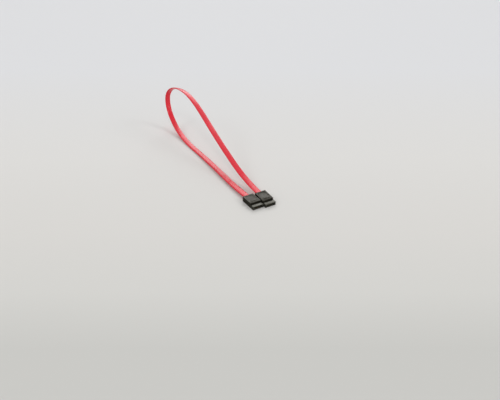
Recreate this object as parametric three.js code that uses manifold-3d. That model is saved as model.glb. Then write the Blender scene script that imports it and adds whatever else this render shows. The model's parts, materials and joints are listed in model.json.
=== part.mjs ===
// A serial data cable: one flat two-pair cable with a straight seven-contact plug moulded on each end.
// Millimetres, +Z up. The origin is on the floor, in the middle of the two plugs' footprint.
// The plugs lie side by side with their mating faces towards -Y, and the cable loops away along +Y.

import * as THREE from "three";
import { mergeVertices } from "three/addons/utils/BufferGeometryUtils.js";
import Module from "manifold-3d";

const wasm = await Module();
wasm.setup();

// Overmould, the outer body that a hand grips.
const OVERMOULD_WIDTH = 14.7;
const OVERMOULD_LENGTH = 18.2;
const OVERMOULD_HEIGHT = 6.7;
const OVERMOULD_EDGE = 0.5;
const SIDE_WALL = 1.5;
const REAR_WALL = 2.0;

// Contact housing: the nose that enters the socket, and the shank behind it inside the overmould.
const NOSE_WIDTH = 14.6;
const NOSE_LENGTH = 6.1;
const NOSE_HEIGHT = 4.4;
const NOSE_UNDERCUT = 0.35;
const NOSE_EDGE = 0.25;
const SHANK_LENGTH = 4.5;
const SHANK_HEIGHT = 3.4;
const SHANK_FLOOR = 1.0;

// The L-shaped slot in the nose.
const SLOT_WIDTH = 10.4;
const SLOT_HEIGHT = 1.5;
const SLOT_DEPTH = 5.2;
const SLOT_FLOOR = 2.15;
const KEY_WIDTH = 1.5;
const KEY_DROP = 1.1;

// Contacts.
const CONTACT_COUNT = 7;
const CONTACT_PITCH = 1.27;
const CONTACT_WIDTH = 0.6;
const CONTACT_THICKNESS = 0.25;
const CONTACT_BOW = 0.45;
const CONTACT_BOW_LENGTH = 3.2;
const CONTACT_SETBACK = 1.0;
const CONTACT_TAIL = 2.5;
const CONTACT_SINK = 0.45;
const CONTACT_ROW_SHIFT = -0.8;

// Cable and the conductors stripped out of its end.
const CABLE_WIDTH = 8.3;
const CABLE_THICKNESS = 2.1;
const CABLE_CORNER = 0.9;
const CABLE_ENTRY = 1.7;
const CABLE_EXIT_HEIGHT = 3.35;
const CABLE_STEPS = 80;
const WIRE_RADIUS = 0.45;
const CONDUCTOR_RADIUS = 0.18;
const DRAIN_RADIUS = 0.16;
const PAIR_OFFSET = 2.05;
const WIRE_HALF_PITCH = 0.52;
const DRAIN_OFFSET = 1.24;
const JOINT_SPREAD = 0.22;
const FOIL_LENGTH = 1.7;
const FOIL_THICKNESS = 0.15;
const FOIL_ROOM = 0.12;
const STRIP_LENGTH = 2.6;

// Inner mould, the comb that keeps the soldered ends apart.
const COMB_LENGTH = 5.0;
const COMB_SLOT = 1.06;
const COMB_FLOOR_ROOM = 0.15;

// Clearances.
const FIT = 0.2;
const CABLE_FIT = 0.3;
const SMALL_FIT = 0.1;
const SEAT_GAP = 0.3;

// Where the plugs lie: side by side, the right one a little further forward and tipped nose down.
const PLUG_GAP = 0.8;
const EXIT_Y = 14.1;
const RIGHT_SETBACK = 2.9;
const RIGHT_PITCH = THREE.MathUtils.degToRad(5.3);

// Route of the cable from the left plug to the right one: x, y, z, and how far its face leans, in degrees.
const ROUTE = [
  [-7.75, 12.4, 3.35, 0],
  [-7.8, 22, 3.3, 0],
  [-8.1, 34, 3.2, -1],
  [-8.2, 48, 3.1, -2],
  [-7.7, 64, 3, -3],
  [-7, 82, 2.9, -3],
  [-6.1, 102, 2.7, -3],
  [-5.3, 122, 2.4, -3],
  [-4.6, 144, 2, -3],
  [-4.2, 166, 1.6, -3],
  [-4.2, 184, 1.5, -4],
  [-4.1, 200, 2, -5],
  [-3.4, 217.5, 3, -6],
  [-2.2, 236.5, 5.2, -6],
  [-0.8, 255.5, 9.5, -6],
  [0.4, 272.5, 16.8, -6],
  [0.7, 283.5, 27.2, -5],
  [0.5, 287.2, 39.9, -3],
  [0.8, 285.2, 53.3, -3],
  [2.6, 278.2, 63.7, -7],
  [5.3, 265.6, 70.7, -13],
  [8.1, 250, 73.2, -11],
  [10.3, 234, 72.4, -8],
  [11.7, 217, 69, -4],
  [12.4, 199.5, 63.3, 0],
  [12.3, 180, 55.7, 3],
  [11.2, 157.5, 47.2, 4],
  [9.4, 133.5, 39.5, 4],
  [8, 110, 31.7, 3],
  [7.3, 88.3, 24.2, 2],
  [7.1, 69, 17.2, 2],
  [7.4, 51, 11.5, 1],
  [7.6, 34, 7.8, 0],
  [7.7, 21, 6, 0],
  [7.75, 9.2, 5.1, 0],
];

const PLUG_SPACING = OVERMOULD_WIDTH + PLUG_GAP;
const CAVITY_WIDTH = OVERMOULD_WIDTH - 2 * SIDE_WALL;
const SHANK_WIDTH = CAVITY_WIDTH - 2 * FIT;
const CAVITY_FLOOR = SHANK_FLOOR - FIT;
const CAVITY_HEIGHT = SHANK_HEIGHT + 2 * FIT;

// Places along a plug, whose own y is 0 at the cable exit and falls towards the mating face.
const NOSE_BACK = -OVERMOULD_LENGTH - FIT;
const MATING_FACE = NOSE_BACK - NOSE_LENGTH;
const SHANK_BACK = NOSE_BACK + SHANK_LENGTH;
const CONTACT_FRONT = MATING_FACE + CONTACT_SETBACK;
const CONTACT_BACK = SHANK_BACK + CONTACT_TAIL;
const CABLE_END = -CABLE_ENTRY;
const WIRE_START = CABLE_END - SEAT_GAP;
const FOIL_END = WIRE_START - FOIL_LENGTH;
const INSULATION_END = CONTACT_BACK + FIT;
const CONDUCTOR_END = INSULATION_END - STRIP_LENGTH;
const COMB_FRONT = SHANK_BACK + FIT;
const COMB_BACK = COMB_FRONT + COMB_LENGTH;
const CONTACT_FLOOR = SLOT_FLOOR - CONTACT_SINK;
const CONTACT_TOP = CONTACT_FLOOR + CONTACT_THICKNESS;
const WIRE_HEIGHT = CONTACT_TOP + SMALL_FIT + CONDUCTOR_RADIUS;
const DRAIN_HEIGHT = CONTACT_TOP + SMALL_FIT + DRAIN_RADIUS;

const material = (color, roughness, metalness = 0) => new THREE.MeshStandardMaterial({ color, roughness, metalness });

function mesh(name, geometry, look) {
  const made = new THREE.Mesh(geometry, look);
  made.name = name;
  return made;
}

// A box given by its extents rather than its middle.
function boxBetween(x0, x1, y0, y1, z0, z1) {
  const box = new THREE.BoxGeometry(x1 - x0, y1 - y0, z1 - z0);
  box.translate((x0 + x1) / 2, (y0 + y1) / 2, (z0 + z1) / 2);
  return box;
}

function solid(geometry) {
  const plain = geometry.index ? geometry.toNonIndexed() : geometry.clone();
  plain.deleteAttribute("normal");
  plain.deleteAttribute("uv");
  const merged = mergeVertices(plain, 1e-4);
  return new wasm.Manifold(new wasm.Mesh({
    numProp: 3,
    vertProperties: Float32Array.from(merged.attributes.position.array),
    triVerts: Uint32Array.from(merged.index.array),
  }));
}

function geometryOf(manifold) {
  const { numProp, vertProperties, triVerts } = manifold.getMesh();
  const positions = new Float32Array((vertProperties.length / numProp) * 3);
  for (let vertex = 0; vertex < positions.length / 3; vertex += 1) {
    positions.set(vertProperties.subarray(vertex * numProp, vertex * numProp + 3), vertex * 3);
  }
  const geometry = new THREE.BufferGeometry();
  geometry.setAttribute("position", new THREE.BufferAttribute(positions, 3));
  geometry.setIndex(new THREE.BufferAttribute(Uint32Array.from(triVerts), 1));
  return geometry;
}

const join = (parts) => parts.map(solid).reduce((whole, part) => whole.add(part));
const cut = (body, tools) => tools.map(solid).reduce((rest, tool) => rest.subtract(tool), body);

// A block lying along y from y0 to y1, with its long edges rounded over by `edge` and its ends by half of that.
function softBlock(width, y0, y1, z0, z1, edge) {
  const round = edge / 2;
  const right = width / 2 - edge;
  const low = z0 + edge;
  const high = z1 - edge;
  const outline = new THREE.Shape();
  outline.absarc(right, low, round, -Math.PI / 2, 0, false);
  outline.absarc(right, high, round, 0, Math.PI / 2, false);
  outline.absarc(-right, high, round, Math.PI / 2, Math.PI, false);
  outline.absarc(-right, low, round, Math.PI, (3 * Math.PI) / 2, false);
  outline.closePath();
  const block = new THREE.ExtrudeGeometry(outline, {
    depth: y1 - y0 - 2 * round,
    curveSegments: 3,
    bevelEnabled: true,
    bevelSize: round,
    bevelThickness: round,
    bevelSegments: 2,
  });
  block.rotateX(Math.PI / 2);
  block.translate(0, y1 - round, 0);
  return block;
}

const contactX = (index) => CONTACT_ROW_SHIFT + (index - (CONTACT_COUNT + 1) / 2) * CONTACT_PITCH;

function overmouldGeometry() {
  const body = solid(softBlock(OVERMOULD_WIDTH, -OVERMOULD_LENGTH, 0, 0, OVERMOULD_HEIGHT, OVERMOULD_EDGE));
  const cavity = boxBetween(
    -CAVITY_WIDTH / 2, CAVITY_WIDTH / 2,
    -OVERMOULD_LENGTH - 1, -REAR_WALL,
    CAVITY_FLOOR, CAVITY_FLOOR + CAVITY_HEIGHT,
  );
  const halfMouth = CABLE_WIDTH / 2 + CABLE_FIT;
  const mouthHeight = CABLE_THICKNESS / 2 + CABLE_FIT;
  const mouth = boxBetween(
    -halfMouth, halfMouth,
    -REAR_WALL - SMALL_FIT, 1,
    CABLE_EXIT_HEIGHT - mouthHeight, CABLE_EXIT_HEIGHT + mouthHeight,
  );
  return geometryOf(cut(body, [cavity, mouth]));
}

function housingGeometry() {
  const nose = softBlock(
    NOSE_WIDTH, MATING_FACE, NOSE_BACK,
    NOSE_UNDERCUT, NOSE_UNDERCUT + NOSE_HEIGHT, NOSE_EDGE,
  );
  const shank = boxBetween(
    -SHANK_WIDTH / 2, SHANK_WIDTH / 2,
    NOSE_BACK - 1, SHANK_BACK,
    SHANK_FLOOR, SHANK_FLOOR + SHANK_HEIGHT,
  );
  const slotBack = MATING_FACE + SLOT_DEPTH;
  const slot = boxBetween(
    -SLOT_WIDTH / 2, SLOT_WIDTH / 2,
    MATING_FACE - 1, slotBack,
    SLOT_FLOOR, SLOT_FLOOR + SLOT_HEIGHT,
  );
  const key = boxBetween(
    SLOT_WIDTH / 2 - KEY_WIDTH, SLOT_WIDTH / 2,
    MATING_FACE - 1, slotBack,
    SLOT_FLOOR - KEY_DROP, SLOT_FLOOR + SMALL_FIT,
  );
  const halfGroove = CONTACT_WIDTH / 2 + SMALL_FIT;
  const grooves = [];
  for (let index = 1; index <= CONTACT_COUNT; index += 1) {
    grooves.push(boxBetween(
      contactX(index) - halfGroove, contactX(index) + halfGroove,
      CONTACT_FRONT - FIT, SHANK_BACK + 1,
      CONTACT_FLOOR - SMALL_FIT, SLOT_FLOOR + SMALL_FIT,
    ));
  }
  return geometryOf(cut(join([nose, shank]), [slot, key, ...grooves]));
}

// A flat spring: level in its groove, with a bow near the front that stands up into the slot.
function contactGeometry() {
  const bowSteps = 8;
  const line = [[CONTACT_FRONT, 0]];
  for (let step = 1; step < bowSteps; step += 1) {
    const share = step / bowSteps;
    line.push([CONTACT_FRONT + share * CONTACT_BOW_LENGTH, CONTACT_BOW * Math.sin(Math.PI * share) ** 2]);
  }
  line.push([CONTACT_FRONT + CONTACT_BOW_LENGTH, 0], [CONTACT_BACK, 0]);
  const profile = new THREE.Shape();
  line.forEach(([y, rise], index) => {
    if (index === 0) profile.moveTo(y, CONTACT_FLOOR + rise);
    else profile.lineTo(y, CONTACT_FLOOR + rise);
  });
  line.reverse().forEach(([y, rise]) => profile.lineTo(y, CONTACT_TOP + rise));
  profile.closePath();
  const strip = new THREE.ExtrudeGeometry(profile, { depth: CONTACT_WIDTH, bevelEnabled: false });
  strip.rotateX(Math.PI / 2);
  strip.rotateZ(Math.PI / 2);
  strip.translate(-CONTACT_WIDTH / 2, 0, 0);
  return strip;
}

function combGeometry() {
  const top = SHANK_FLOOR + SHANK_HEIGHT;
  const block = solid(boxBetween(-SHANK_WIDTH / 2, SHANK_WIDTH / 2, COMB_FRONT, COMB_BACK, SHANK_FLOOR, top));
  const slots = [];
  for (let index = 1; index <= CONTACT_COUNT; index += 1) {
    slots.push(boxBetween(
      contactX(index) - COMB_SLOT / 2, contactX(index) + COMB_SLOT / 2,
      COMB_FRONT - 1, COMB_BACK + 1,
      CONTACT_FLOOR - COMB_FLOOR_ROOM, top + 1,
    ));
  }
  return geometryOf(cut(block, slots));
}

function circle(radius, sides) {
  const outline = new THREE.Shape();
  for (let side = 0; side < sides; side += 1) {
    const angle = (2 * Math.PI * (side + 0.5)) / sides;
    if (side === 0) outline.moveTo(radius * Math.cos(angle), radius * Math.sin(angle));
    else outline.lineTo(radius * Math.cos(angle), radius * Math.sin(angle));
  }
  outline.closePath();
  return outline;
}

// A round wire that leaves the cable end straight, then moves over to its contact.
function wireGeometry(radius, fromX, toX, toHeight, endY) {
  const path = new THREE.CatmullRomCurve3([
    new THREE.Vector3(fromX, WIRE_START, CABLE_EXIT_HEIGHT),
    new THREE.Vector3(fromX, FOIL_END, CABLE_EXIT_HEIGHT),
    new THREE.Vector3(toX, COMB_BACK, toHeight),
    new THREE.Vector3(toX, endY, toHeight),
  ]);
  return new THREE.ExtrudeGeometry(circle(radius, 8), { steps: 16, extrudePath: path, bevelEnabled: false });
}

function signalWireGeometry(fromX, toX) {
  const insulation = wireGeometry(WIRE_RADIUS, fromX, toX, WIRE_HEIGHT, INSULATION_END);
  const conductor = new THREE.CylinderGeometry(CONDUCTOR_RADIUS, CONDUCTOR_RADIUS, STRIP_LENGTH + 1, 8);
  conductor.translate(toX, (INSULATION_END + 1 + CONDUCTOR_END) / 2, WIRE_HEIGHT);
  return geometryOf(join([insulation, conductor]));
}

// The foil wrap left round one pair: an oval sleeve, open at both ends.
function foilGeometry() {
  const halfLong = DRAIN_OFFSET + DRAIN_RADIUS + FOIL_ROOM;
  const halfShort = WIRE_RADIUS + FOIL_ROOM;
  const oval = (grow, target) => {
    const radius = halfShort + grow;
    const reach = halfLong - halfShort;
    target.absarc(reach, 0, radius, -Math.PI / 2, Math.PI / 2, false);
    target.absarc(-reach, 0, radius, Math.PI / 2, (3 * Math.PI) / 2, false);
    target.closePath();
    return target;
  };
  const outline = oval(FOIL_THICKNESS, new THREE.Shape());
  outline.holes.push(oval(0, new THREE.Path()));
  const sleeve = new THREE.ExtrudeGeometry(outline, { depth: FOIL_LENGTH, bevelEnabled: false, curveSegments: 6 });
  sleeve.rotateX(Math.PI / 2);
  sleeve.translate(0, WIRE_START, CABLE_EXIT_HEIGHT);
  return sleeve;
}

const black = () => material(0x2b2a28, 0.55);
const moulded = () => material(0x33312d, 0.5);
const gold = () => material(0xc9a24a, 0.3, 1);
const natural = () => material(0xb9b6a8, 0.7);
const insulation = (color) => material(color, 0.6);
const tinned = () => material(0xb8bcc0, 0.35, 1);
const foil = () => material(0xc4c8cc, 0.4, 1);
const red = () => material(0xd8323f, 0.45);

const PAIRS = [
  { x: -PAIR_OFFSET, outerPin: 1, pins: [2, 3], innerPin: 4 },
  { x: PAIR_OFFSET, outerPin: 7, pins: [5, 6], innerPin: 4 },
];

function plug(side) {
  const group = new THREE.Group();
  const add = (name, geometry, look) => {
    const piece = mesh(`${side}_${name}`, geometry, look);
    group.add(piece);
    return piece;
  };
  add("overmould", overmouldGeometry(), black());
  add("contact_housing", housingGeometry(), moulded());
  add("inner_mould", combGeometry(), natural());
  for (let index = 1; index <= CONTACT_COUNT; index += 1) {
    add(`contact_${index}`, contactGeometry(), gold()).position.x = contactX(index);
  }
  PAIRS.forEach(({ x, outerPin, pins, innerPin }) => {
    const outward = Math.sign(x);
    const inwardPins = [...pins].sort((a, b) => outward * (contactX(a) - contactX(b)));
    const joint = contactX(innerPin) + outward * JOINT_SPREAD;
    inwardPins.forEach((pin, order) => {
      const fromX = x + outward * (order === 0 ? -WIRE_HALF_PITCH : WIRE_HALF_PITCH);
      add(`signal_wire_${pin}`, signalWireGeometry(fromX, contactX(pin)), insulation(0xe9e6dc));
    });
    const drain = (fromX, toX) => wireGeometry(DRAIN_RADIUS, fromX, toX, DRAIN_HEIGHT, CONDUCTOR_END);
    add(`drain_wire_${outerPin}`, drain(x + outward * DRAIN_OFFSET, contactX(outerPin)), tinned());
    add(`drain_wire_${innerPin}_from_${outerPin}`, drain(x - outward * DRAIN_OFFSET, joint), tinned());
    add(`foil_${pins.join("_")}`, foilGeometry(), foil()).position.x = x;
  });
  return group;
}

// The cable's line, with its flat face turned about that line as the route says.
class RibbonPath extends THREE.CatmullRomCurve3 {
  constructor(route) {
    super(route.map(([x, y, z]) => new THREE.Vector3(x, y, z)), false, "centripetal");
    this.leans = route.map((point) => THREE.MathUtils.degToRad(point[3]));
  }

  lean(share) {
    const place = this.getUtoTmapping(share) * (this.leans.length - 1);
    const index = Math.min(Math.floor(place), this.leans.length - 2);
    return THREE.MathUtils.lerp(this.leans[index], this.leans[index + 1], place - index);
  }

  computeFrenetFrames(segments) {
    const frames = { tangents: [], normals: [], binormals: [] };
    for (let step = 0; step <= segments; step += 1) {
      const share = step / segments;
      const tangent = this.getTangentAt(share).normalize();
      const across = new THREE.Vector3(1, 0, 0).addScaledVector(tangent, -tangent.x).normalize();
      across.applyAxisAngle(tangent, this.lean(share));
      frames.tangents.push(tangent);
      frames.normals.push(across);
      frames.binormals.push(new THREE.Vector3().crossVectors(tangent, across));
    }
    return frames;
  }
}

function cableSection() {
  const halfWidth = CABLE_WIDTH / 2;
  const halfThickness = CABLE_THICKNESS / 2;
  const outline = new THREE.Shape();
  const cornerSteps = 2;
  let started = false;
  [[1, -1, -90], [1, 1, 0], [-1, 1, 90], [-1, -1, 180]].forEach(([signX, signZ, from]) => {
    for (let step = 0; step <= cornerSteps; step += 1) {
      const angle = THREE.MathUtils.degToRad(from + (90 * step) / cornerSteps);
      const x = signX * (halfWidth - CABLE_CORNER) + CABLE_CORNER * Math.cos(angle);
      const z = signZ * (halfThickness - CABLE_CORNER) + CABLE_CORNER * Math.sin(angle);
      if (started) outline.lineTo(x, z);
      else outline.moveTo(x, z);
      started = true;
    }
  });
  outline.closePath();
  return outline;
}

function cableGeometry() {
  return new THREE.ExtrudeGeometry(cableSection(), {
    steps: CABLE_STEPS,
    extrudePath: new RibbonPath(ROUTE),
    bevelEnabled: false,
  });
}

const cable = new THREE.Group();

const leftPlug = plug("left");
leftPlug.position.set(-PLUG_SPACING / 2, EXIT_Y, 0);

// The right plug is tipped onto the lower front edge of its nose by the cable that lifts its tail.
const rightPlug = plug("right");
rightPlug.rotation.x = RIGHT_PITCH;
const noseFoot = new THREE.Vector3(0, MATING_FACE + NOSE_EDGE / 2, NOSE_UNDERCUT).applyAxisAngle(
  new THREE.Vector3(1, 0, 0), RIGHT_PITCH,
);
rightPlug.position.set(PLUG_SPACING / 2, EXIT_Y - RIGHT_SETBACK, -noseFoot.z);

cable.add(leftPlug, rightPlug, mesh("flat_cable", cableGeometry(), red()));

export default cable;
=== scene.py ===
import json
import math

import bmesh
import bpy
from mathutils import Matrix, Vector


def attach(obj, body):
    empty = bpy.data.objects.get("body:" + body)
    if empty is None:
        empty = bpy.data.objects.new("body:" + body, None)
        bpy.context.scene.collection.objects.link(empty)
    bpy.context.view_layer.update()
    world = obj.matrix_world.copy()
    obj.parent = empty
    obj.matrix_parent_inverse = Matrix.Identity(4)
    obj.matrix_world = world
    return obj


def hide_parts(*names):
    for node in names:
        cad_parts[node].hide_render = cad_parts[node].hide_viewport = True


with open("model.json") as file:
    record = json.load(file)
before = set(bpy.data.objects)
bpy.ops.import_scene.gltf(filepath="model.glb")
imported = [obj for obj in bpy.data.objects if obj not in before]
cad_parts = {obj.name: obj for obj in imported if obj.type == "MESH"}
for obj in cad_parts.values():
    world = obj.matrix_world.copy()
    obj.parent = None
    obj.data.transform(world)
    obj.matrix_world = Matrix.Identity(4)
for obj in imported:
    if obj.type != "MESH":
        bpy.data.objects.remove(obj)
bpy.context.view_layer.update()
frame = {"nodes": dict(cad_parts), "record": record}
scene = bpy.context.scene

# All lengths are in metres, in the frame's own axes: +Z up, mating faces towards -Y.

# Camera.
CAMERA_TARGET = Vector((-0.00607, 0.01169, 0.0))
CAMERA_AZIMUTH = math.radians(-31.28)
CAMERA_ELEVATION = math.radians(32.38)
CAMERA_DISTANCE = 0.5
CAMERA_NEAR_LIMIT = 0.01
CAMERA_FAR_LIMIT = 20.0
PICTURE_WIDTH_PIXELS = 500
FOCAL_PIXELS = 405.7
SENSOR_WIDTH_MM = 36.0

# Cable. Each face has a shallow valley along its middle and falls by the crown towards the corners.
CABLE_WIDTH = 0.0083
CABLE_THICKNESS = 0.0021
CABLE_CORNER = 0.0007
CABLE_VALLEY = 0.00006
CABLE_VALLEY_WIDTH = 0.0008
CABLE_CROWN = 0.0004
CABLE_CROWN_POWER = 3
CABLE_FACE_STEPS = 14
CABLE_CORNER_STEPS = 7

# How far apart the cable's rings are, and the fewest steps from one point of its route to the next.
RING_STEP = 0.0016
FEWEST_STEPS = 4

# Route of the cable: x, y, z, and how far its face leans, in degrees.
ROUTE = [
    (-0.00775, 0.0124, 0.00335, 0),
    (-0.0078, 0.022, 0.0033, 0),
    (-0.0081, 0.034, 0.0032, -1),
    (-0.0082, 0.048, 0.0031, -2),
    (-0.0077, 0.064, 0.003, -3),
    (-0.007, 0.082, 0.0029, -3),
    (-0.0061, 0.102, 0.0027, -3),
    (-0.0053, 0.122, 0.0024, -3),
    (-0.0046, 0.144, 0.002, -3),
    (-0.0042, 0.166, 0.0016, -3),
    (-0.0042, 0.184, 0.0015, -4),
    (-0.0041, 0.2, 0.002, -5),
    (-0.0034, 0.2175, 0.003, -6),
    (-0.0022, 0.2365, 0.0052, -6),
    (-0.0008, 0.2555, 0.0095, -6),
    (0.0004, 0.2725, 0.0168, -6),
    (0.0007, 0.2835, 0.0272, -5),
    (0.0005, 0.2872, 0.0399, -3),
    (0.0008, 0.2852, 0.0533, -3),
    (0.0026, 0.2782, 0.0637, -7),
    (0.0053, 0.2656, 0.0707, -13),
    (0.0081, 0.25, 0.0732, -11),
    (0.0103, 0.234, 0.0724, -8),
    (0.0117, 0.217, 0.069, -4),
    (0.0124, 0.1995, 0.0633, 0),
    (0.0123, 0.18, 0.0557, 3),
    (0.0112, 0.1575, 0.0472, 4),
    (0.0094, 0.1335, 0.0395, 4),
    (0.008, 0.11, 0.0317, 3),
    (0.0073, 0.0883, 0.0242, 2),
    (0.0071, 0.069, 0.0172, 2),
    (0.0074, 0.051, 0.0115, 1),
    (0.0076, 0.034, 0.0078, 0),
    (0.0077, 0.021, 0.006, 0),
    (0.00775, 0.0092, 0.0051, 0),
]

# Overmould, in a plug's own frame: y is 0 at the cable exit and falls towards the mating face.
BODY_WIDTH = 0.0147
BODY_LENGTH = 0.0182
BODY_HEIGHT = 0.0067
BODY_ROUND = 0.00022
BODY_EDGE = 0.00008
CAVITY_WIDTH = 0.0117
CAVITY_FLOOR = 0.0008
CAVITY_HEIGHT = 0.0038
REAR_WALL = 0.002
EXIT_HEIGHT = 0.00335
MOUTH_ROOM = 0.0003
MOUTH_HALF_WIDTH = CABLE_WIDTH / 2 + MOUTH_ROOM
MOUTH_HALF_HEIGHT = CABLE_THICKNESS / 2 + MOUTH_ROOM
MOUTH_ROUND = MOUTH_HALF_HEIGHT * 0.9

# The recessed panel and the low pad on the overmould's upper face.
PANEL_WIDTH = 0.0096
PANEL_LENGTH = 0.006
PANEL_BACK = 0.002
PANEL_DEPTH = 0.00018
PANEL_ROUND = PANEL_DEPTH * 0.5
PAD_WIDTH = 0.0072
PAD_LENGTH = 0.003
PAD_HEIGHT = 0.00012
PAD_ROUND = PAD_HEIGHT * 0.8
PAD_FRONT_ROOM = 0.003

# The grip grooves down each side of the overmould.
GRIP_COUNT = 5
GRIP_PITCH = 0.0016
GRIP_WIDTH = 0.0007
GRIP_DEPTH = 0.00018
GRIP_ROUND = GRIP_DEPTH * 0.4
GRIP_END_ROOM = 0.0012

# Contact housing: the nose and the shank behind it.
JOIN_GAP = 0.0002
NOSE_WIDTH = 0.0146
NOSE_LENGTH = 0.0061
NOSE_HEIGHT = 0.0044
NOSE_UNDERCUT = 0.00035
NOSE_ROUND = 0.00015
NOSE_EDGE = 0.00005
MATING_FACE = -(BODY_LENGTH + JOIN_GAP + NOSE_LENGTH)
NOSE_BACK = MATING_FACE + NOSE_LENGTH
MATING_MOUNT_HEIGHT = 0.0012
SHANK_WIDTH = 0.0113
SHANK_LENGTH = 0.0045
SHANK_FLOOR = 0.001
SHANK_HEIGHT = 0.0034
SHANK_OVERLAP = 0.001

# The L-shaped slot in the nose, and the grooves that the contacts lie in.
SLOT_WIDTH = 0.0104
SLOT_HEIGHT = 0.0015
SLOT_DEPTH = 0.0052
SLOT_FLOOR = 0.00215
SLOT_TOP = SLOT_FLOOR + SLOT_HEIGHT
SLOT_BACK = MATING_FACE + SLOT_DEPTH
KEY_WIDTH = 0.0015
KEY_DROP = 0.0011
LEAD_IN = 0.0003
CONTACT_COUNT = 7
CONTACT_PITCH = 0.00127
CONTACT_ROW_SHIFT = -0.0008
GROOVE_WIDTH = 0.0008
GROOVE_DEPTH = 0.00055
GROOVE_SETBACK = 0.0008

# How far a cutting block goes past a face that it opens, and into a hollow that it meets.
CUT_PAST = 0.001
MOUTH_INTO_CAVITY = 0.0005
KEY_INTO_SLOT = 0.0005
GROOVE_INTO_SLOT = 0.0001

# A plug's edge is rounded where its faces turn by more than this.
ROUNDED_FROM = math.radians(50)

# Where faces turn by more than this, the edge between them is shaded sharp.
PLUG_SHARP_FROM = math.radians(35)
CABLE_SHARP_FROM = math.radians(60)

# The look of each node that is carried over, by how its name goes on after left_ or right_.
NODE_LOOKS = {f"contact_{number}": "gold" for number in range(1, CONTACT_COUNT + 1)}
NODE_LOOKS["inner_mould"] = "comb"
NODE_LOOKS["signal_wire"] = "insulation"
NODE_LOOKS["drain_wire"] = "tinned"
NODE_LOOKS["foil"] = "foil"

# Most of a noise pattern lies between these two values.
NOISE_LOW = 0.3
NOISE_HIGH = 0.7

# A face counts as upright where its normal rises less than the first, and as level above the second.
UPRIGHT_BELOW = 0.4
LEVEL_ABOVE = 0.9

# The sockets of a node that mixes colours, whose names its number sockets share.
MIX_FACTOR = 0
MIX_FIRST_COLOUR = 6
MIX_SECOND_COLOUR = 7
MIX_RESULT = 2

# Light: the share of a white level surface's brightness that each source gives, and the angle it fills.
WORLD_SHARE = 0.502
LAMPS = [
    {"name": "right_softbox", "towards": (1.06, -1.19, 1.0), "share": 0.09, "width": math.radians(18)},
    {"name": "front_softbox", "towards": (-0.46, -1.21, 1.0), "share": 0.08, "width": math.radians(12)},
    {"name": "left_softbox", "towards": (-1.13, -0.06, 1.0), "share": 0.08, "width": math.radians(20)},
    {"name": "back_softbox", "towards": (0.66, 1.02, 0.82), "share": 0.136, "width": math.radians(35)},
    {"name": "back_fill", "towards": (0.45, 0.9, 1.6), "share": 0.08, "width": math.radians(80)},
    {"name": "low_softbox", "towards": (0.25, -0.96, 0.17), "share": 0.018, "width": math.radians(30)},
]

# What the camera and reflections see beyond the floor.
BACKDROP = (0.54, 0.54, 0.54)

# The square floor, and its colour by distance from the origin, measured the way the camera looks. It is
# darker towards the camera: painted shade where the light falls off.
FLOOR_SIZE = 8.0
FLOOR_TONES_WITH_PAINTED_SHADE = [
    (-0.21, (0.6, 0.597, 0.572)),
    (-0.15, (0.67, 0.664, 0.638)),
    (-0.06, (0.703, 0.69, 0.665)),
    (0.12, (0.734, 0.725, 0.706)),
    (0.6, (0.736, 0.741, 0.755)),
]


def add_camera():
    data = bpy.data.cameras.new("camera")
    data.sensor_width = SENSOR_WIDTH_MM
    data.lens = FOCAL_PIXELS / PICTURE_WIDTH_PIXELS * SENSOR_WIDTH_MM
    data.clip_start = CAMERA_NEAR_LIMIT
    data.clip_end = CAMERA_FAR_LIMIT
    camera = bpy.data.objects.new("camera", data)
    scene.collection.objects.link(camera)
    level = math.cos(CAMERA_ELEVATION)
    back = Vector((
        math.sin(CAMERA_AZIMUTH) * level,
        -math.cos(CAMERA_AZIMUTH) * level,
        math.sin(CAMERA_ELEVATION),
    ))
    camera.location = CAMERA_TARGET + back * CAMERA_DISTANCE
    camera.rotation_mode = "QUATERNION"
    camera.rotation_quaternion = (-back).to_track_quat("-Z", "Y")
    scene.camera = camera


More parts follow.
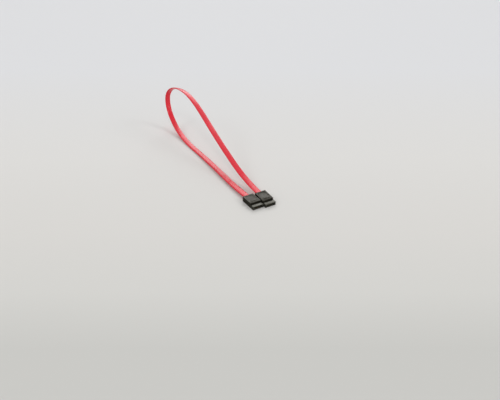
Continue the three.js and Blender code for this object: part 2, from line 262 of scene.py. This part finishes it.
# Node materials.
class Look:
    """A Principled material that its own nodes then enrich."""

    def __init__(self, name, colour, roughness, metallic=0.0):
        self.material = bpy.data.materials.new(name)
        self.material.use_nodes = True
        self.tree = self.material.node_tree
        self.shader = self.tree.nodes["Principled BSDF"]
        self.shader.inputs["Base Color"].default_value = (*colour, 1.0)
        self.shader.inputs["Roughness"].default_value = roughness
        self.shader.inputs["Metallic"].default_value = metallic

    def shine(self, level, tint=(1.0, 1.0, 1.0)):
        """Sets how strongly the whole surface reflects, and the tint of what it reflects head on."""
        self.shader.inputs["Specular IOR Level"].default_value = level
        self.shader.inputs["Specular Tint"].default_value = (*tint, 1.0)

    def link(self, source, target):
        self.tree.links.new(source, target)

    def coordinate(self, kind, scale=(1.0, 1.0, 1.0)):
        place = self.tree.nodes.new("ShaderNodeTexCoord")
        mapping = self.tree.nodes.new("ShaderNodeMapping")
        mapping.inputs["Scale"].default_value = scale
        self.link(place.outputs[kind], mapping.inputs["Vector"])
        return mapping.outputs["Vector"]

    def noise(self, place, scale, detail=2.0, distortion=0.0):
        node = self.tree.nodes.new("ShaderNodeTexNoise")
        node.inputs["Scale"].default_value = scale
        node.inputs["Detail"].default_value = detail
        node.inputs["Distortion"].default_value = distortion
        self.link(place, node.inputs["Vector"])
        return node.outputs["Fac"]

    def spread(self, value, low, high, start=NOISE_LOW, end=NOISE_HIGH):
        """The value, from start to end, as a number from low to high."""
        node = self.tree.nodes.new("ShaderNodeMapRange")
        node.inputs["From Min"].default_value = start
        node.inputs["From Max"].default_value = end
        node.inputs["To Min"].default_value = low
        node.inputs["To Max"].default_value = high
        self.link(value, node.inputs["Value"])
        return node.outputs["Result"]

    def add(self, first, second):
        node = self.tree.nodes.new("ShaderNodeMath")
        node.operation = "ADD"
        self.link(first, node.inputs[0])
        self.link(second, node.inputs[1])
        return node.outputs["Value"]

    def where_upright(self, amount):
        """The amount where the surface stands upright, falling to 0 where it lies level."""
        place = self.tree.nodes.new("ShaderNodeTexCoord")
        parts = self.tree.nodes.new("ShaderNodeSeparateXYZ")
        rise = self.tree.nodes.new("ShaderNodeMath")
        rise.operation = "ABSOLUTE"
        self.link(place.outputs["Normal"], parts.inputs["Vector"])
        self.link(parts.outputs["Z"], rise.inputs[0])
        return self.spread(rise.outputs["Value"], amount, 0.0, start=UPRIGHT_BELOW, end=LEVEL_ABOVE)

    def colour_between(self, pattern, first, second):
        node = self.tree.nodes.new("ShaderNodeMix")
        node.data_type = "RGBA"
        node.inputs[MIX_FIRST_COLOUR].default_value = (*first, 1.0)
        node.inputs[MIX_SECOND_COLOUR].default_value = (*second, 1.0)
        self.link(self.spread(pattern, 0.0, 1.0), node.inputs[MIX_FACTOR])
        self.link(node.outputs[MIX_RESULT], self.shader.inputs["Base Color"])

    def roughness_from(self, value):
        self.link(value, self.shader.inputs["Roughness"])

    def bump(self, height, distance, strength):
        node = self.tree.nodes.new("ShaderNodeBump")
        node.inputs["Strength"].default_value = strength
        node.inputs["Distance"].default_value = distance
        self.link(height, node.inputs["Height"])
        self.link(node.outputs["Normal"], self.shader.inputs["Normal"])


def cable_look():
    """A drawn, slightly uneven jacket. The cable's UV map is in metres: across it, then along it."""
    look = Look("cable_red", colour=(0.715, 0.0245, 0.041), roughness=0.25)
    look.shine(0.33)
    drawn = look.noise(look.coordinate("UV", scale=(2600.0, 40.0, 1.0)), scale=1.0, detail=3.0)
    uneven = look.noise(look.coordinate("UV", scale=(320.0, 90.0, 1.0)), scale=1.0)
    cloud = look.noise(look.coordinate("Object"), scale=55.0, detail=3.0)
    look.colour_between(cloud, (0.68, 0.021, 0.036), (0.75, 0.028, 0.048))
    look.roughness_from(look.spread(uneven, 0.22, 0.28))
    height = look.add(look.spread(drawn, 0.0, 0.25), look.spread(uneven, 0.0, 1.0))
    look.bump(height, distance=0.000015, strength=0.4)
    return look.material


def overmould_look():
    """Black rubbery plastic, finely grained and dimpled, and rougher on its sides."""
    look = Look("overmould_black", colour=(0.009, 0.008, 0.006), roughness=0.42)
    look.shine(0.36, tint=(1.0, 0.95, 0.76))
    place = look.coordinate("Object")
    grain = look.noise(place, scale=7000.0)
    dimples = look.noise(place, scale=1000.0)
    patches = look.noise(place, scale=260.0, detail=3.0, distortion=0.6)
    look.colour_between(patches, (0.007, 0.006, 0.004), (0.013, 0.011, 0.0075))
    matt = look.add(look.spread(grain, -0.05, 0.05), look.spread(patches, 0.35, 0.49))
    look.roughness_from(look.add(matt, look.where_upright(0.45)))
    height = look.add(look.spread(grain, 0.0, 0.6), look.spread(dimples, 0.0, 1.0))
    look.bump(height, distance=0.00004, strength=0.7)
    return look.material


def housing_look():
    """Harder black plastic with flow marks, smoother on its upper face."""
    look = Look("housing_black", colour=(0.016, 0.0158, 0.0145), roughness=0.3)
    look.shine(0.58, tint=(1.0, 0.97, 0.8))
    grain = look.noise(look.coordinate("Object"), scale=9000.0)
    along_nose = look.coordinate("Object", scale=(1.0, 0.25, 1.0))
    flow = look.noise(along_nose, scale=420.0, detail=3.0, distortion=0.8)
    look.colour_between(flow, (0.009, 0.0085, 0.0065), (0.016, 0.015, 0.011))
    satin = look.spread(flow, 0.25, 0.35)
    look.roughness_from(look.add(satin, look.where_upright(0.5)))
    look.bump(grain, distance=0.00001, strength=0.6)
    return look.material


def metal_look(name, colour, worn, smooth, rough):
    """Rolled or drawn metal with lines along y."""
    look = Look(name, colour, roughness=(rough + smooth) / 2, metallic=1.0)
    rolled = look.noise(look.coordinate("Object", scale=(1.0, 0.08, 1.0)), scale=6000.0, detail=3.0)
    stain = look.noise(look.coordinate("Object"), scale=900.0)
    look.colour_between(stain, colour, worn)
    look.roughness_from(look.spread(stain, smooth, rough))
    look.bump(rolled, distance=0.000006, strength=0.5)
    return look.material


def soft_plastic_look(name, colour, darker, smooth, rough):
    look = Look(name, colour, roughness=(rough + smooth) / 2)
    cloud = look.noise(look.coordinate("Object"), scale=700.0, detail=3.0)
    grain = look.noise(look.coordinate("Object"), scale=5000.0)
    look.colour_between(cloud, colour, darker)
    look.roughness_from(look.spread(cloud, smooth, rough))
    look.bump(grain, distance=0.00001, strength=0.5)
    return look.material


def foil_look():
    look = Look("shield_foil", colour=(0.72, 0.74, 0.76), roughness=0.3, metallic=1.0)
    crease = look.noise(look.coordinate("Object"), scale=1800.0, detail=4.0, distortion=1.5)
    look.roughness_from(look.spread(crease, 0.22, 0.42))
    look.bump(crease, distance=0.00008, strength=0.8)
    return look.material


def plug_looks():
    return {
        "overmould": overmould_look(),
        "housing": housing_look(),
        "gold": metal_look(
            "contact_gold", colour=(0.83, 0.58, 0.22), worn=(0.74, 0.49, 0.17), smooth=0.2, rough=0.34,
        ),
        "tinned": metal_look(
            "drain_tinned", colour=(0.66, 0.67, 0.69), worn=(0.56, 0.57, 0.58), smooth=0.28, rough=0.42,
        ),
        "comb": soft_plastic_look(
            "inner_mould", colour=(0.46, 0.43, 0.34), darker=(0.41, 0.38, 0.3), smooth=0.49, rough=0.61,
        ),
        "insulation": soft_plastic_look(
            "wire_insulation", colour=(0.78, 0.75, 0.66), darker=(0.72, 0.69, 0.6), smooth=0.39, rough=0.51,
        ),
        "foil": foil_look(),
    }


# Mesh helpers.
def new_object(name, mesh):
    made = bpy.data.objects.new(name, mesh)
    scene.collection.objects.link(made)
    return made


def block(low, high, edge=0.0, steps=2):
    """A box between two corners, its edges rounded where edge is given, as an object."""
    shape = bmesh.new()
    bmesh.ops.create_cube(shape, size=1.0)
    middle = (Vector(low) + Vector(high)) / 2
    size = Vector(high) - Vector(low)
    bmesh.ops.scale(shape, vec=size, verts=shape.verts)
    bmesh.ops.translate(shape, vec=middle, verts=shape.verts)
    if edge:
        edges = shape.edges[:]
        bmesh.ops.bevel(shape, geom=edges, offset=edge, segments=steps, profile=0.5, affect="EDGES")
    mesh = bpy.data.meshes.new("block")
    shape.to_mesh(mesh)
    shape.free()
    return new_object("block", mesh)


def settle(piece):
    """Puts the result of a piece's modifiers into its own mesh."""
    evaluated = piece.evaluated_get(bpy.context.evaluated_depsgraph_get())
    mesh = bpy.data.meshes.new_from_object(evaluated)
    piece.modifiers.clear()
    piece.data = mesh


def combine(piece, tool, operation):
    """Joins the tool to the piece or cuts it out of it, and uses the tool up."""
    change = piece.modifiers.new("combine", "BOOLEAN")
    change.operation = operation
    change.solver = "EXACT"
    change.object = tool
    bpy.context.view_layer.update()
    settle(piece)
    bpy.data.objects.remove(tool)


def cut(piece, tool):
    combine(piece, tool, "DIFFERENCE")


def join(piece, tool):
    combine(piece, tool, "UNION")


def soften(piece, width):
    """Rounds the sharp edges, then shades the piece smooth."""
    bevel = piece.modifiers.new("edges", "BEVEL")
    bevel.width = width
    bevel.segments = 2
    bevel.limit_method = "ANGLE"
    bevel.angle_limit = ROUNDED_FROM
    bpy.context.view_layer.update()
    settle(piece)
    piece.data.shade_smooth()
    piece.data.set_sharp_from_angle(angle=PLUG_SHARP_FROM)


def finish_piece(piece, name, look, node):
    """Names and dresses a piece that stands for a node, and makes it ride on the body."""
    piece.name = name
    piece.data.name = name
    piece.data.materials.clear()
    piece.data.materials.append(look)
    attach(piece, "root")
    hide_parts(node)
    return piece


# Cable.
def route_rings():
    """Places close together on a centripetal Catmull-Rom curve through the route, each with its lean."""
    points = [Vector(point[:3]) for point in ROUTE]
    leans = [math.radians(point[3]) for point in ROUTE]
    padded = [2 * points[0] - points[1], *points, 2 * points[-1] - points[-2]]
    rings = []
    for index in range(len(points) - 1):
        before, start, end, after = padded[index:index + 4]
        gap_before = math.sqrt((start - before).length)
        gap = math.sqrt((end - start).length)
        gap_after = math.sqrt((after - end).length)
        leave = (start - before) / gap_before - (end - before) / (gap_before + gap) + (end - start) / gap
        arrive = (end - start) / gap - (after - start) / (gap + gap_after) + (after - end) / gap_after
        leave *= gap
        arrive *= gap
        square = -3 * start + 3 * end - 2 * leave - arrive
        cube = 2 * start - 2 * end + leave + arrive
        steps = max(FEWEST_STEPS, round((end - start).length / RING_STEP))
        for step in range(steps):
            share = step / steps
            place = start + leave * share + square * share ** 2 + cube * share ** 3
            rings.append((place, leans[index] + (leans[index + 1] - leans[index]) * share))
    rings.append((points[-1], leans[-1]))
    return rings


def cable_section():
    """The cable's outline as (across, up) pairs."""
    flat = CABLE_WIDTH / 2 - CABLE_CORNER
    upper = []
    for step in range(CABLE_FACE_STEPS + 1):
        across = -flat + 2 * flat * step / CABLE_FACE_STEPS
        valley = CABLE_VALLEY * math.exp(-(across / CABLE_VALLEY_WIDTH) ** 2)
        crown = CABLE_CROWN * abs(across / flat) ** CABLE_CROWN_POWER
        upper.append((across, CABLE_THICKNESS / 2 - valley - crown))
    edge_top = upper[-1][1]
    side = []
    for step in range(1, CABLE_CORNER_STEPS):
        angle = math.pi / 2 - math.pi * step / CABLE_CORNER_STEPS
        side.append((flat + CABLE_CORNER * math.cos(angle), edge_top * math.sin(angle)))
    lower = [(across, -up) for across, up in reversed(upper)]
    other_side = [(-across, up) for across, up in reversed(side)]
    return upper + side + lower + other_side


def ring_directions(rings, index):
    """Across and up at a ring, square to the route and turned by the ring's lean."""
    before = rings[max(index - 1, 0)][0]
    after = rings[min(index + 1, len(rings) - 1)][0]
    tangent = (after - before).normalized()
    across = Vector((1, 0, 0))
    across = (across - tangent * across.dot(tangent)).normalized()
    across = Matrix.Rotation(rings[index][1], 3, tangent) @ across
    return across, tangent.cross(across)


def lengths_along(points):
    """How far each point is from the first one, measured along them."""
    lengths = [0.0]
    for start, end in zip(points, points[1:]):
        lengths.append(lengths[-1] + (end - start).length)
    return lengths


def tube_mesh(name, rings, section):
    """A closed tube with that section at each ring."""
    count = len(section)
    vertices = []
    for index in range(len(rings)):
        place = rings[index][0]
        across, up = ring_directions(rings, index)
        vertices.extend(place + across * x + up * z for x, z in section)
    faces = []
    for ring in range(len(rings) - 1):
        low = ring * count
        high = low + count
        for index in range(count):
            following = (index + 1) % count
            faces.append((low + index, high + index, high + following, low + following))
    last = (len(rings) - 1) * count
    faces.append(tuple(range(count)))
    faces.append(tuple(last + index for index in reversed(range(count))))
    mesh = bpy.data.meshes.new(name)
    mesh.from_pydata(vertices, [], faces)
    return mesh


def map_tube(mesh, across_at, along_at):
    """Gives a tube a UV map in metres: across its surface, then along it."""
    layer = mesh.uv_layers.new(name="surface")
    count = len(across_at) - 1
    for face in range((len(along_at) - 1) * count):
        ring, index = divmod(face, count)
        corners = [(index, ring), (index, ring + 1), (index + 1, ring + 1), (index + 1, ring)]
        for corner, (across, along) in zip(mesh.polygons[face].loop_indices, corners):
            layer.data[corner].uv = (across_at[across], along_at[along])


def face_outward(mesh):
    shape = bmesh.new()
    shape.from_mesh(mesh)
    bmesh.ops.recalc_face_normals(shape, faces=shape.faces)
    shape.to_mesh(mesh)
    shape.free()


def cable_piece(look):
    """Makes the ribbon and returns it with the points that it follows and its length."""
    rings = route_rings()
    section = cable_section()
    centreline = [place for place, lean in rings]
    across_at = lengths_along([Vector(point) for point in section + section[:1]])
    along_at = lengths_along(centreline)
    mesh = tube_mesh("flat_ribbon", rings, section)
    map_tube(mesh, across_at, along_at)
    face_outward(mesh)
    mesh.shade_smooth()
    mesh.set_sharp_from_angle(angle=CABLE_SHARP_FROM)
    ribbon = new_object("flat_ribbon", mesh)
    finish_piece(ribbon, "flat_ribbon", look, "flat_cable")
    return ribbon, centreline, along_at[-1]


# Plugs.
def plug_frame(side):
    """A plug's own frame, from the mount on its mating face."""
    mounts = {mount["name"]: mount for mount in frame["record"]["mounts"]}
    mount = mounts[f"{side}_mating_face"]
    backward = -Vector(mount["axis"])
    across = Vector((1, 0, 0))
    turn = Matrix((across, backward, across.cross(backward))).transposed()
    origin = Vector(mount["pos_m"]) - turn @ Vector((0, MATING_FACE, MATING_MOUNT_HEIGHT))
    return Matrix.Translation(origin) @ turn.to_4x4()


def cavity():
    """The space in the overmould, open towards the nose."""
    low = (-CAVITY_WIDTH / 2, -BODY_LENGTH - CUT_PAST, CAVITY_FLOOR)
    high = (CAVITY_WIDTH / 2, -REAR_WALL, CAVITY_FLOOR + CAVITY_HEIGHT)
    return block(low, high)


def cable_mouth():
    """The opening in the rear wall that the cable comes out of."""
    low = (-MOUTH_HALF_WIDTH, -REAR_WALL - MOUTH_INTO_CAVITY, EXIT_HEIGHT - MOUTH_HALF_HEIGHT)
    high = (MOUTH_HALF_WIDTH, CUT_PAST, EXIT_HEIGHT + MOUTH_HALF_HEIGHT)
    return block(low, high, MOUTH_ROUND, steps=6)


def top_panel():
    low = (-PANEL_WIDTH / 2, -PANEL_BACK - PANEL_LENGTH, BODY_HEIGHT - PANEL_DEPTH)
    high = (PANEL_WIDTH / 2, -PANEL_BACK, BODY_HEIGHT + CUT_PAST)
    return block(low, high, PANEL_ROUND)


def top_pad():
    front = -BODY_LENGTH + PAD_FRONT_ROOM
    low = (-PAD_WIDTH / 2, front, BODY_HEIGHT - PAD_HEIGHT)
    high = (PAD_WIDTH / 2, front + PAD_LENGTH, BODY_HEIGHT + PAD_HEIGHT)
    return block(low, high, PAD_ROUND, steps=3)


def grip_groove(outward, index):
    """A groove down the side that faces outward: -1 is the left one, 1 the right one."""
    place = -BODY_LENGTH / 2 + (index - (GRIP_COUNT - 1) / 2) * GRIP_PITCH
    inner = outward * (BODY_WIDTH / 2 - GRIP_DEPTH)
    outer = outward * (BODY_WIDTH / 2 + CUT_PAST)
    low = (min(inner, outer), place - GRIP_WIDTH / 2, GRIP_END_ROOM)
    high = (max(inner, outer), place + GRIP_WIDTH / 2, BODY_HEIGHT - GRIP_END_ROOM)
    return block(low, high, GRIP_ROUND)


def overmould_piece(side, look):
    low = (-BODY_WIDTH / 2, -BODY_LENGTH, 0)
    high = (BODY_WIDTH / 2, 0, BODY_HEIGHT)
    body = block(low, high, BODY_ROUND, steps=5)
    cut(body, cavity())
    cut(body, cable_mouth())
    cut(body, top_panel())
    join(body, top_pad())
    for outward in (-1, 1):
        for index in range(GRIP_COUNT):
            cut(body, grip_groove(outward, index))
    soften(body, BODY_EDGE)
    body.data.transform(plug_frame(side))
    return finish_piece(body, f"{side}_overmould_shell", look, f"{side}_overmould")


def shank():
    low = (-SHANK_WIDTH / 2, NOSE_BACK - SHANK_OVERLAP, SHANK_FLOOR)
    high = (SHANK_WIDTH / 2, NOSE_BACK + SHANK_LENGTH, SHANK_FLOOR + SHANK_HEIGHT)
    return block(low, high)


def slot_leg():
    """The long leg of the L."""
    low = (-SLOT_WIDTH / 2, MATING_FACE - CUT_PAST, SLOT_FLOOR)
    high = (SLOT_WIDTH / 2, SLOT_BACK, SLOT_TOP)
    return block(low, high)


def slot_key():
    """The short leg of the L, which drops from the long leg's right end."""
    low = (SLOT_WIDTH / 2 - KEY_WIDTH, MATING_FACE - CUT_PAST, SLOT_FLOOR - KEY_DROP)
    high = (SLOT_WIDTH / 2, SLOT_BACK, SLOT_FLOOR + KEY_INTO_SLOT)
    return block(low, high)


def slot_mouth():
    """The long leg's front end, which widens towards the mating face."""
    mouth = block(
        (-SLOT_WIDTH / 2, MATING_FACE - LEAD_IN, SLOT_FLOOR),
        (SLOT_WIDTH / 2, MATING_FACE + LEAD_IN, SLOT_TOP),
    )
    mid_height = (SLOT_FLOOR + SLOT_TOP) / 2
    for vertex in mouth.data.vertices:
        if vertex.co.y < MATING_FACE:
            vertex.co.x += math.copysign(LEAD_IN, vertex.co.x)
            vertex.co.z += math.copysign(LEAD_IN, vertex.co.z - mid_height)
    return mouth


def contact_groove(number):
    """The groove under the slot that a contact lies in, open towards the shank's rear."""
    place = CONTACT_ROW_SHIFT + (number - (CONTACT_COUNT + 1) / 2) * CONTACT_PITCH
    low = (place - GROOVE_WIDTH / 2, MATING_FACE + GROOVE_SETBACK, SLOT_FLOOR - GROOVE_DEPTH)
    back = NOSE_BACK + SHANK_LENGTH + CUT_PAST
    high = (place + GROOVE_WIDTH / 2, back, SLOT_FLOOR + GROOVE_INTO_SLOT)
    return block(low, high)


def housing_piece(side, look):
    low = (-NOSE_WIDTH / 2, MATING_FACE, NOSE_UNDERCUT)
    high = (NOSE_WIDTH / 2, NOSE_BACK, NOSE_UNDERCUT + NOSE_HEIGHT)
    nose = block(low, high, NOSE_ROUND, steps=4)
    join(nose, shank())
    cut(nose, slot_leg())
    cut(nose, slot_key())
    cut(nose, slot_mouth())
    for number in range(1, CONTACT_COUNT + 1):
        cut(nose, contact_groove(number))
    soften(nose, NOSE_EDGE)
    nose.data.transform(plug_frame(side))
    return finish_piece(nose, f"{side}_nose", look, f"{side}_contact_housing")


def dress_node(name, look):
    node = frame["nodes"][name]
    node.data.materials.clear()
    node.data.materials.append(look)
    return node


def plug_pieces(side, looks):
    """Makes or dresses every piece of one plug, and returns them."""
    pieces = [overmould_piece(side, looks["overmould"]), housing_piece(side, looks["housing"])]
    for beginning, kind in NODE_LOOKS.items():
        for name in sorted(frame["nodes"]):
            if name.startswith(f"{side}_{beginning}"):
                pieces.append(dress_node(name, looks[kind]))
    return pieces


# Stage.
def floor_look():
    """A pale floor whose colour changes slowly with distance, the way the camera looks, darker near the
    camera as painted shade.
    """
    nearest, near_colour = FLOOR_TONES_WITH_PAINTED_SHADE[0]
    farthest, far_colour = FLOOR_TONES_WITH_PAINTED_SHADE[-1]
    look = Look("floor", near_colour, roughness=0.9)
    look.shine(0.1)
    distance = look.tree.nodes.new("ShaderNodeVectorMath")
    distance.operation = "DOT_PRODUCT"
    distance.inputs[1].default_value = (-math.sin(CAMERA_AZIMUTH), math.cos(CAMERA_AZIMUTH), 0.0)
    look.link(look.coordinate("Object"), distance.inputs[0])
    # The colour ramp paints shade: the floor grows darker towards the camera.
    tones = look.tree.nodes.new("ShaderNodeValToRGB")
    stops = tones.color_ramp.elements
    stops[0].color = (*near_colour, 1.0)
    stops[1].color = (*far_colour, 1.0)
    for place, colour in FLOOR_TONES_WITH_PAINTED_SHADE[1:-1]:
        stops.new((place - nearest) / (farthest - nearest)).color = (*colour, 1.0)
    share = look.spread(distance.outputs["Value"], 0.0, 1.0, start=nearest, end=farthest)
    look.link(share, tones.inputs["Fac"])
    look.link(tones.outputs["Color"], look.shader.inputs["Base Color"])
    return look.material


def add_floor():
    shape = bmesh.new()
    bmesh.ops.create_grid(shape, x_segments=2, y_segments=2, size=FLOOR_SIZE / 2)
    mesh = bpy.data.meshes.new("floor")
    shape.to_mesh(mesh)
    shape.free()
    floor = new_object("floor", mesh)
    floor.data.materials.append(floor_look())


def add_world():
    """Even light from all round, and a plain backdrop for the camera and for reflections."""
    world = bpy.data.worlds.new("studio")
    scene.world = world
    world.use_nodes = True
    tree = world.node_tree
    light = tree.nodes["Background"]
    light.inputs["Color"].default_value = (1.0, 1.0, 1.0, 1.0)
    light.inputs["Strength"].default_value = WORLD_SHARE
    backdrop = tree.nodes.new("ShaderNodeBackground")
    backdrop.inputs["Color"].default_value = (*BACKDROP, 1.0)
    path = tree.nodes.new("ShaderNodeLightPath")
    seen = path.outputs["Is Camera Ray"]
    for kind in ("Is Glossy Ray", "Is Transmission Ray"):
        either = tree.nodes.new("ShaderNodeMath")
        either.operation = "MAXIMUM"
        tree.links.new(seen, either.inputs[0])
        tree.links.new(path.outputs[kind], either.inputs[1])
        seen = either.outputs["Value"]
    choice = tree.nodes.new("ShaderNodeMixShader")
    tree.links.new(seen, choice.inputs["Fac"])
    tree.links.new(light.outputs["Background"], choice.inputs[1])
    tree.links.new(backdrop.outputs["Background"], choice.inputs[2])
    tree.links.new(choice.outputs["Shader"], tree.nodes["World Output"].inputs["Surface"])


def add_lamp(name, towards, share, width):
    """A distant soft light, which lies the way that towards points."""
    direction = Vector(towards).normalized()
    data = bpy.data.lights.new(name, "SUN")
    data.energy = share * math.pi / direction.z
    data.angle = width
    lamp = bpy.data.objects.new(name, data)
    lamp.rotation_mode = "QUATERNION"
    lamp.rotation_quaternion = direction.to_track_quat("Z", "Y")
    scene.collection.objects.link(lamp)


# The scene itself.
add_camera()
ribbon, centreline, cable_length = cable_piece(cable_look())
looks = plug_looks()
plug_pieces("left", looks)
right_plug = plug_pieces("right", looks)
add_floor()
add_world()
for lamp in LAMPS:
    add_lamp(**lamp)
scene.view_settings.view_transform = "Standard"
